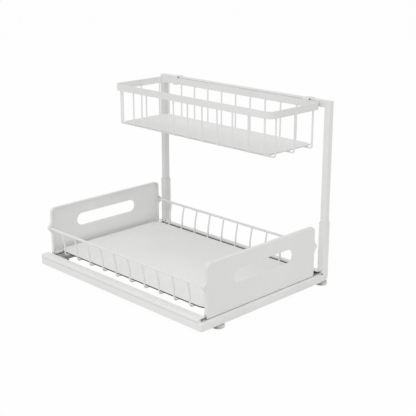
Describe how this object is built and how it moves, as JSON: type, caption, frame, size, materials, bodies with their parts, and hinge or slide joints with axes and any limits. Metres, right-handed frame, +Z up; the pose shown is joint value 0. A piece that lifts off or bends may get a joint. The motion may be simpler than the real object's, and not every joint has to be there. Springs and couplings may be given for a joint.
{
  "type": "under sink organizer",
  "caption": "Two-tier white steel organizer for a sink cabinet: a frame on feet, a drawer with slotted end plates that slides out, and a wire basket hooked on a rear crossbar.",
  "frame": {"origin": "centre of the base rectangle, on the surface that the feet stand on", "axes": "+X along the length, the way the drawer slides out; -Y is the front; +Z up"},
  "size_m": [0.407, 0.2951, 0.3092],
  "materials": {
    "white_paint": "satin powder coat",
    "white_wire": "satin powder coat on wire",
    "grey_rubber": "matt",
    "zinc_steel": "zinc plated",
    "dark_screw": "black oxide",
    "white_nylon": "moulded nylon"
  },
  "bodies": {
    "frame": {"front_tube": "white_paint", "rear_tube": "white_paint", "side_tube_left": "white_paint", "side_tube_right": "white_paint", "upper_post_left": "white_paint", "upper_post_right": "white_paint", "crossbar": "white_paint", "post_set_screws": "dark_screw", "foot_front_left": "grey_rubber", "foot_front_right": "grey_rubber", "foot_rear_left": "grey_rubber", "foot_rear_right": "grey_rubber", "front_channel": "white_paint", "rear_channel": "white_paint", "front_channel_plug": "white_nylon", "stop_pins": "zinc_steel"},
    "drawer": {"side_plate_left": "white_paint", "side_plate_right": "white_paint", "rail_wire_front": "white_wire", "rail_wire_rear": "white_wire", "drawer_wires": "white_wire", "drawer_tray": "white_paint", "runner_front": "zinc_steel", "runner_rear": "zinc_steel", "runner_glides_front": "white_nylon", "runner_glides_rear": "white_nylon", "tab_screws": "dark_screw"},
    "basket": {"basket_band": "white_paint", "basket_cross_wires": "white_wire", "basket_long_wire_front": "white_wire", "basket_long_wire_middle": "white_wire", "basket_long_wire_rear": "white_wire", "basket_sheet": "white_paint", "hook_clip_left": "white_paint", "hook_clip_right": "white_paint"}
  },
  "joints": [
    {"name": "drawer_slide", "type": "slide", "parent": "frame", "child": "drawer", "axis": [1, 0, 0], "range_m": [0, 0.27]},
    {"name": "basket_lift", "type": "slide", "parent": "frame", "child": "basket", "axis": [0, 0, 1], "range_m": [0, 0.03]}
  ]
}
